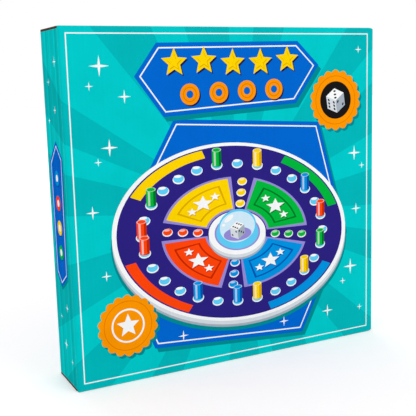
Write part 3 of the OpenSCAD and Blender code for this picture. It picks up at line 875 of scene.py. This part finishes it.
def make_leaflet():
    """Folded instructions: drawings only, no words."""
    low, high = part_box("rules_leaflet")
    wide, tall = (high.x - low.x) / MM, (high.z - low.z) / MM
    pale = linear(226, 236, 244)
    shapes = [(rectangle(0, tall - 14, wide, tall), BLUE), (rectangle(0, tall - 16, wide, tall - 15), SKY)]
    shapes += [(spikes(14 + 20 * k, tall - 7, 4.6, 2.1), YELLOW if k % 2 else WHITE) for k in range(7)]
    for column in range(3):
        x = 28 + 47 * column
        shapes += [(rectangle(x - 20, 8, x + 20, 48), pale)] + rings(x, 28, (15, INDIGO), (12, pale), count=40)
        for k in range(8):
            ink = PLAYER_INKS[(k + column) % 4][0]
            shapes += rings(*around(x, 28, 13.5, k * math.pi / 4), (1.8, ink), count=16)
        shapes += drawn_die(x, 28, 5, (2, 4, 1)) if column != 1 else drawn_peg(x, 23, 3, 9, PLAYER_INKS[2])
    path = Path((low.x / MM, low.y / MM), 0, wide)
    folded_board("instruction_leaflet", "carton", "rules_leaflet", "leaflet_paper", (PAPER, PAPER_EDGE, PAPER), path,
                 upright(low.z / MM), tall, shapes=shapes, thickness=(high.y - low.y) / MM)


# ---- turned and moulded pieces of the game ----


def islands(node):
    """The lowest and highest corners of every loose part of a CAD node."""
    bm = bmesh.new()
    bm.from_mesh(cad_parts[node].data)
    bmesh.ops.remove_doubles(bm, verts=bm.verts, dist=1e-7)
    found, left = [], set(bm.verts)
    while left:
        stack, part = [left.pop()], []
        while stack:
            vertex = stack.pop()
            part.append(vertex.co)
            for edge in vertex.link_edges:
                other = edge.other_vert(vertex)
                if other in left:
                    left.remove(other)
                    stack.append(other)
        found.append(tuple(Vector([pick(c[k] for c in part) for k in range(3)]) for pick in (min, max)))
    bm.free()
    return sorted(found, key=lambda box: (round(box[0].z, 5), round(box[0].x, 5)))


def places(node):
    """Places (u, v) of the middles of a node's loose parts in the game's frame, mm."""
    return [((a.x + b.x) / 2 / MM, (a.z + b.z) / 2 / MM - GAME_Z) for a, b in islands(node)]


def heights(node):
    """The lowest and highest h of a node above the back panel, mm."""
    low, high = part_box(node)
    return BACK_IN_Y - high.y / MM, BACK_IN_Y - low.y / MM


def half_width(node):
    low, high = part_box(node)
    return (high.x - low.x) / 2 / MM


def eased(profile, radius, steps=3):
    """A closed profile with its corners rounded, but for those on the axis."""
    made = []
    for k, corner in enumerate(profile):
        a, b, c = Vector(profile[k - 1]), Vector(corner), Vector(profile[(k + 1) % len(profile)])
        if b.x < 1e-6:
            made.append(tuple(b))
            continue
        cut = min(radius, 0.45 * (a - b).length, 0.45 * (c - b).length)
        p, q = b + (a - b).normalized() * cut, b + (c - b).normalized() * cut
        for step in range(steps + 1):
            t = step / steps
            made.append(tuple(p * (1 - t) ** 2 + b * 2 * t * (1 - t) + q * t * t))
    return made


def rod(r, low, high, soft):
    """The profile of a round rod with softened rims."""
    return eased([(0, low), (r, low), (r, high), (0, high)], soft)


def octagon(share_of_turn):
    """Distance to the edge of an eight-sided outline with apothem 1."""
    angle = (share_of_turn * 360 + 22.5) % 45 - 22.5
    return 1 / math.cos(math.radians(angle))


class Moulding:
    """Collects turned shapes in the game's frame as one piece."""

    def __init__(self):
        self.points, self.faces, self.inks = [], [], []

    def turned(self, profile, place=(0, 0), count=48, eight_sided=()):
        """A closed profile of (r, h) turned about h through place. Points numbered in eight_sided aren't round."""
        rows = []
        for number, (r, h) in enumerate(profile):
            ring = []
            for k in range(1 if r < 1e-6 else count):
                reach = r * (octagon(k / count) if number in eight_sided else 1)
                ring.append(len(self.points))
                self.points.append(around(*place, reach, 2 * math.pi * k / count) + (h,))
            rows.append(ring)
        for a, b in zip(rows, rows[1:] + rows[:1]):
            for k in range(count):
                face = [a[k % len(a)], a[(k + 1) % len(a)], b[(k + 1) % len(b)], b[k % len(b)]]
                face = list(dict.fromkeys(face))
                if len(face) > 2:
                    self.faces.append(face)
                    self.inks.append(WHITE)
        return self

    def finish(self, name, body, node, slot, material, sharp=40):
        vertices = [Vector((u, BACK_IN_Y - h, GAME_Z + v)) * MM for u, v, h in self.points]
        mesh = inked_mesh(name, vertices, self.faces, self.inks)
        turn_outward(mesh)
        return dressed(name, mesh, body, node, material, sharp)


def turn_outward(mesh, join=None):
    """Turns all faces outward, after joining points nearer than join."""
    bm = bmesh.new()
    bm.from_mesh(mesh)
    if join:
        bmesh.ops.remove_doubles(bm, verts=bm.verts, dist=join)
    bmesh.ops.recalc_face_normals(bm, faces=bm.faces)
    bm.to_mesh(mesh)
    bm.free()


def dressed(name, mesh, body, node, material, sharp=40):
    """Makes a smooth-shaded piece from a mesh, in place of a CAD node."""
    mesh.shade_smooth()
    mesh.set_sharp_from_angle(angle=math.radians(sharp))
    mesh.materials.clear()
    mesh.materials.append(material)
    return stands_for(placed(name, mesh), body, node)


def softened(name, body, node, material, width):
    """A copy of a CAD node with its flat faces joined and its edges rounded."""
    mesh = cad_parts[node].data.copy()
    bm = bmesh.new()
    bm.from_mesh(mesh)
    bmesh.ops.remove_doubles(bm, verts=bm.verts, dist=1e-7)
    bmesh.ops.dissolve_limit(bm, angle_limit=math.radians(1), verts=bm.verts, edges=bm.edges)
    edges = [e for e in bm.edges if len(e.link_faces) == 2 and e.calc_face_angle(0) > math.radians(35)]
    bmesh.ops.bevel(bm, geom=edges, offset=width * MM, segments=2, profile=0.5, affect="EDGES", clamp_overlap=True)
    bm.to_mesh(mesh)
    bm.free()
    return dressed(name, mesh, body, node, material)


GAME_Z = sum(corner.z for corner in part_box("base_tray")) / 2 / MM    # height of the game's middle
CORNER_INKS = [(YELLOW, YELLOW_DARK), (GREEN, GREEN_DARK), (SKY, SKY_DARK), (RED, RED_DARK)]
CUPS = ("track_cups", "finish_cups", "home_cups")
POST_R, SCREW_HOLE_R = 3.2, 3.6             # screw posts and the holes that they pass, mm
POPPER_HOLE_R = 25.6
AIR = 0.04                                  # keeps clear pieces off what they rest on, mm


def sheet_holes(middle):
    screws = [(circle(middle + u, middle + v, SCREW_HOLE_R, 24), None) for u, v in places("screws")]
    return rings(middle, middle, (POPPER_HOLE_R, None), count=64) + screws


def card_print(half, cut):
    """Indigo card: coloured homes, lanes and panels, spots under every cup."""
    shapes = []

    def add(points, degrees, ink):
        c, s = math.cos(math.radians(degrees)), math.sin(math.radians(degrees))
        shapes.append(([(half + x * c - y * s, half + x * s + y * c) for x, y in points], ink))

    for corner, (ink, dark) in enumerate(CORNER_INKS):
        turn = 90 * corner
        panel = [(-20, 50), (20, 50), (55, 85), (47, 94), (-47, 94), (-55, 85)]
        add(panel, turn, WHITE)
        for inset, fill in ((1.2, ink), (4.0, dark), (5.0, ink)):
            add(shrunk(panel, inset), turn, fill)
        add(spikes(0, 73, 13, 5.8), turn, WHITE)
        add(spikes(0, 73, 11, 4.9), turn, dark)
        edge = (2 * half - cut) / math.sqrt(2)
        home = [(edge - 22, -36), (edge - 1.5, -cut * 0.68), (edge - 1.5, cut * 0.68), (edge - 22, 36)]
        for area in (home, rectangle(36, -9.6, 106, 9.6)):
            add(area, turn + 45, WHITE)
            add(shrunk(area, 1.0), turn + 45, ink)
    for node, inner in zip(CUPS, (SKY_PALE, LILAC, None)):
        for u, v in places(node):
            corner = int(math.degrees(math.atan2(v, u)) % 360 // 90)
            fill = inner or lighter(CORNER_INKS[corner][0], 0.5)
            shapes += rings(half + u, half + v, (8.2, WHITE), (7.2, fill), count=32)
    for corner in range(4):
        for k in range(4):
            arrow = [(x * 0.9 + 11 + 22 * (k - 2), y * 0.9 + 119.6) for x, y in [(-3, -1.8), (0, 1.8), (3, -1.8)]]
            add(arrow, 90 * corner, WHITE)
    return shapes


def make_sheets():
    """The printed card and the clear top, both cut to the tray."""
    for node, name, slot, looks in (
            ("board_card", "game_card", "printed_card", (CARD, PAPER_EDGE, PAPER)),
            ("clear_top", "clear_top_sheet", "clear_plastic", (CLEAR_SHEET, CLEAR, CLEAR_SHEET))):
        low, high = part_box(node)
        half = half_width(node)
        right_edge = [v.co.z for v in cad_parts[node].data.vertices if v.co.x > high.x - 0.0001]
        cut = half - max(abs(z / MM - GAME_Z) for z in right_edge)
        outline = [(2 * half, cut), (2 * half, 2 * half - cut), (2 * half - cut, 2 * half), (cut, 2 * half),
                   (0, 2 * half - cut), (0, cut), (cut, 0), (2 * half - cut, 0)]
        prints = card_print(half, cut) if node == "board_card" else []
        folded_board(name, "carton", node, slot, looks, Path((-half, low.y / MM), 0, 2 * half),
                     upright(GAME_Z - half), 2 * half, outline=outline,
                     shapes=[(outline, INDIGO)] + prints + sheet_holes(half), thickness=(high.y - low.y) / MM - AIR)


def make_cups():
    low, high = heights("track_cups")
    outer = min(b.x - a.x for a, b in islands("track_cups")) / 2 / MM
    bore = outer - 1.2
    profile = eased([(outer, low + AIR), (outer - 0.15, high), (bore + 0.2, high), (bore, low + AIR)], 0.5)
    for node in CUPS:
        cups = Moulding()
        for place in places(node):
            cups.turned(profile, place, 40)
        cups.finish(node + "_moulding", "carton", node, "clear_plastic", CLEAR)


def make_pegs():
    """Sixteen pegs with a rounded rim and a shallow dish in the top."""
    inks = {"green": GREEN, "yellow": YELLOW, "red": RED, "blue": SKY}
    plastics = {c: plastic_material(c + "_peg_plastic", ink, 0.26, 0.08) for c, ink in inks.items()}
    for node in sorted(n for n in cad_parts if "_peg_" in n):
        colour = node.split("_")[0]
        (low, high), r = heights(node), half_width(node)
        profile = eased([(0, low + 0.4), (r - 1.6, low + 0.4), (r - 1.3, low), (r, low), (r - 0.12, high),
                         (r - 1.5, high), (r - 2.2, high - 0.7), (0, high - 0.9)], 0.7)
        peg = Moulding().turned(profile, places(node)[0])
        peg.finish(node + "_moulding", node, node, colour + "_plastic", plastics[colour])


def make_housing():
    """Eight-sided housing of the popper, coloured by quarters, with its four screw posts."""
    (low, high), apothem, base = heights("pod_housing"), half_width("pod_housing"), heights("clear_top")[1]
    step, skirt, bore = 1.5, 3.0, 25.3
    profile = eased([(bore, base), (apothem, base), (apothem - 0.3, base + skirt), (apothem - step, base + skirt),
                     (apothem - step - 0.5, high), (bore, high)], 0.6)
    eight = [k for k, (r, _) in enumerate(profile) if r > bore + 1.5]
    housing = Moulding().turned(profile, count=64, eight_sided=eight)
    for index, face in enumerate(housing.faces):
        u, v = (sum(housing.points[i][k] for i in face) / len(face) for k in range(2))
        angle = math.degrees(math.atan2(v, u)) % 360
        if abs(angle % 90 - 45) < 22.6 and math.hypot(u, v) > bore + 8.0:
            housing.inks[index] = CORNER_INKS[int(angle // 90)][0]
    for place in places("screws"):
        housing.turned(rod(POST_R, low, base, 0.2), place, 24)
    housing.finish("popper_housing", "carton", "pod_housing", "white_plastic", INKED_PLASTIC)


def make_ring():
    (low, high), outer = heights("dome_ring"), half_width("dome_ring")
    inner = outer - 6.1
    ring = Moulding().turned(eased([(inner, low), (outer, low), (outer - 0.3, high), (inner, high)], 0.5), count=96)
    ring.finish("dome_ring_moulding", "carton", "dome_ring", "white_plastic", WHITE_PLASTIC)


def make_dome():
    """Clear cap of a sphere on a short tube with a flange."""
    (low, high), flange = heights("dome"), half_width("dome")
    r, wall, flange_low, flange_high = 23.0, 1.4, low + 2.8, low + 4.2
    rise = high - heights("pod_housing")[1]
    sphere = (r * r + rise * rise) / (2 * rise)
    centre, steps = high - sphere, 14

    def cap(radius, base_r):
        start = math.asin(min(1.0, base_r / radius))
        angles = [start * (1 - k / steps) for k in range(steps)]
        return [(radius * math.sin(t), centre + radius * math.cos(t)) for t in angles] + [(0.0, centre + radius)]

    profile = [(r - wall, low), (r, low), (r, flange_low), (flange, flange_low), (flange, flange_high),
               (r, flange_high)] + cap(sphere, r) + cap(sphere - wall, r - wall)[::-1]
    dome = Moulding().turned(profile, count=96)
    dome.finish("clear_dome_shell", "dome", "dome", "clear_plastic", DOME_CLEAR, 30)


def make_disc():
    disc = Moulding().turned(rod(half_width("popping_plate"), *heights("popping_plate"), 0.2), count=96)
    disc.finish("popping_disc", "popping_plate", "popping_plate", "spring_steel", PLATE_STEEL)


def make_spring():
    """Coil spring, swept finer than the CAD's."""
    low, high = heights("return_spring")
    wire, turns, sides, per_turn = 0.45, 5, 12, 48
    coil = half_width("return_spring") - wire
    spring, steps = Moulding(), turns * per_turn
    for i in range(steps + 1):
        middle = low + wire + (high - low - 2 * wire) * i / steps
        for k in range(sides):
            b = 2 * math.pi * k / sides
            spring.points.append(around(0, 0, coil + wire * math.cos(b), 2 * math.pi * i / per_turn)
                                 + (middle + wire * math.sin(b),))
    for i in range(steps):
        for k in range(sides):
            p, q = i * sides + k, i * sides + (k + 1) % sides
            spring.faces.append([p, q, q + sides, p + sides])
    spring.faces += [list(range(sides)), [steps * sides + k for k in range(sides)]]
    spring.inks = [WHITE] * len(spring.faces)
    piece = spring.finish("coil_spring", "carton", "return_spring", "spring_steel", SPRING_STEEL)
    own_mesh(piece)


def make_die():
    """Rounded cube; its pips are round dimples."""
    half, middle = half_width("die"), sum(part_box("die"), Vector()) / 2 / MM
    soft, pip, spread = 1.3, 0.85, 2.4
    marks = [-half, *(-half + soft * (1 - math.cos(math.radians(a))) for a in (30, 50, 70)), -half + soft]
    marks = sorted(marks + [-m for m in marks])[1:-1]
    cuts = [((m, -half - 1), (m, half + 1)) for m in marks] + [((-half - 1, m), (half + 1, m)) for m in marks]
    dish = {1.0: 0.0, 0.8: 0.12, 0.5: 0.25}     # depth of a pip by the share of its radius
    directions = [((1, 0, 0), (0, 1, 0), 1), ((-1, 0, 0), (0, -1, 0), 6), ((0, 1, 0), (0, 0, 1), 2),
                  ((0, -1, 0), (0, 0, -1), 5), ((0, 0, 1), (1, 0, 0), 3), ((0, 0, -1), (-1, 0, 0), 4)]
    vertices, faces, inks = [], [], []
    for out, side, number in directions:
        out, side = Vector(out), Vector(side)
        up = out.cross(side)
        shapes = [(circle(a * spread, b * spread, pip * share, 20), BLACK) for a, b in PIPS[number] for share in dish]
        spots, skin = tiles(rectangle(-half, -half, half, half), shapes, cuts)
        base = len(vertices)
        for x, y in spots:
            away = min(math.hypot(x - a * spread, y - b * spread) for a, b in PIPS[number])
            depth = max([0.0] + [sink for share, sink in dish.items() if away < pip * share + 1e-3])
            point = out * half + side * x + up * y
            core = Vector([max(soft - half, min(half - soft, c)) for c in point])
            vertices.append((middle + core + (point - core).normalized() * soft - out * depth) * MM)
        faces += [[base + i for i in face] for face, _ in skin]
        inks += [BLACK if top >= 0 else WHITE for _, top in skin]
    mesh = inked_mesh("rounded_die", vertices, faces, inks)
    turn_outward(mesh, join=2e-6)
    dressed("rounded_die", mesh, "die", "die", INKED_PLASTIC, 50)


def make_base():
    softened("tray_moulding", "carton", "base_tray", WHITE_PLASTIC, 0.4)
    low, high = heights("feet")
    feet = Moulding()
    for (a, b), place in zip(islands("feet"), places("feet")):
        r = (b.x - a.x) / 2 / MM
        feet.turned(eased([(0, low), (r - 0.4, low), (r, high), (0, high)], 0.4), place, 40)
    feet.finish("rubber_feet", "carton", "feet", "foot_rubber", RUBBER)
    low, high = heights("screws")
    screws = Moulding()
    head, shank = 3.0, 1.4
    for place in places("screws"):
        screws.turned(eased([(0, low), (head - 0.7, low), (head, low + 0.8), (head, low + 1.5), (shank, low + 1.5),
                             (shank, high), (0, high)], 0.25), place, 32)
    screws.finish("housing_screws", "carton", "screws", "screw_steel", SCREW_STEEL)


# ---- light, floor and camera ----


def make_camera():
    """The photograph's view, from a fit to the carton's six visible corners."""
    yaw, pitch, roll = (math.radians(v) for v in (27.340, 9.076, -1.465))
    focal, centre_x, centre_y, pixels = 774.4, 222, 201, 416
    ahead = Vector((math.sin(yaw) * math.cos(pitch), math.cos(yaw) * math.cos(pitch), -math.sin(pitch)))
    right = Vector((math.cos(yaw), -math.sin(yaw), 0))
    up = right.cross(ahead)
    side = right * math.cos(roll) + up * math.sin(roll)
    top = up * math.cos(roll) - right * math.sin(roll)
    data = bpy.data.cameras.new("camera")
    data.sensor_width = 36
    data.lens = focal / pixels * data.sensor_width
    data.shift_x = (pixels / 2 - centre_x) / pixels
    data.shift_y = (centre_y - pixels / 2) / pixels
    data.clip_start, data.clip_end = 0.01, 20
    camera = placed("camera", data)
    turn = Matrix((side, top, -ahead)).transposed().to_4x4()
    camera.matrix_world = Matrix.Translation((-0.2861, -0.5530, 0.2263)) @ turn
    bpy.context.scene.camera = camera


NEAR, FAR = 0.25, 0.9                        # distances from the carton between which the floor glow grows
GLOW_NEAR, GLOW_FAR = 0.33, 0.52


def make_stage():
    """A pale floor. For the camera, glossy and clear rays it also glows a little."""
    mesh = bpy.data.meshes.new("floor")
    mesh.from_pydata([(x, y, 0) for x, y in rectangle(-6.0, -6.0, 6.0, 6.0)], [], [(0, 1, 2, 3)])
    n = new_nodes("pale_floor")
    mottle = n.patches(3.0, 2.0, 0.80, 0.82)
    warm = n.math("MULTIPLY", mottle, 0.965)
    n.set(Base_Color=n.add("ShaderNodeCombineColor", {0: mottle, 1: warm, 2: warm}).outputs[0],
          Roughness=0.8, Specular_IOR_Level=0.1)
    away = n.add("ShaderNodeVectorMath", {0: n.object_place()}, operation="LENGTH").outputs["Value"]
    rays = n.add("ShaderNodeLightPath").outputs
    seen = n.math("MAXIMUM", rays["Is Camera Ray"],
                  n.math("MAXIMUM", rays["Is Glossy Ray"], rays["Is Transmission Ray"]))
    strength = n.math("MULTIPLY", seen, n.ramp(away, NEAR, FAR, GLOW_NEAR, GLOW_FAR))
    glow = n.add("ShaderNodeEmission", {"Color": (1, 1, 1, 1), "Strength": strength})
    both = n.add("ShaderNodeAddShader", {0: n.shader.outputs[0], 1: glow.outputs[0]})
    n.put(n.tree.nodes["Material Output"].inputs["Surface"], both.outputs[0])
    mesh.materials.append(n.owner)
    placed("floor", mesh)


def make_lights():
    bpy.context.scene.world = bpy.data.worlds.new("studio")
    n = Nodes(bpy.context.scene.world)
    rays = n.add("ShaderNodeLightPath").outputs
    seen = n.math("MAXIMUM", rays["Is Camera Ray"], rays["Is Transmission Ray"])
    n.set(Strength=n.ramp(seen, 0.0, 1.0, 0.74, 1.0), Color=(1, 1, 1, 1))
    for name, place, size, power in (("key", (0.8, -1.8, 1.2), 1.2, 13), ("fill", (-1.6, -0.9, 0.9), 1.4, 3.6),
                                     ("rear", (0.2, 1.8, 1.5), 1.5, 9)):
        data = bpy.data.lights.new(name, "AREA")
        data.size, data.energy = size, power
        lamp = placed(name, data)
        lamp.location = place
        lamp.rotation_euler = (Vector((0, 0, 0.12)) - Vector(place)).to_track_quat("-Z", "Y").to_euler()


bpy.context.scene.view_settings.view_transform = "Standard"
make_camera()
make_lid()
make_closing_flap()
make_side_walls()
make_back()
make_rolled_wall("top_wall_board", "top_wall", HEIGHT, True)
make_rolled_wall("bottom_wall_board", "bottom_wall", ROLLED, False)
make_corner_flaps()
make_leaflet()
make_sheets()
make_cups()
make_pegs()
make_housing()
make_ring()
make_dome()
make_disc()
make_spring()
make_die()
make_base()
make_stage()
make_lights()
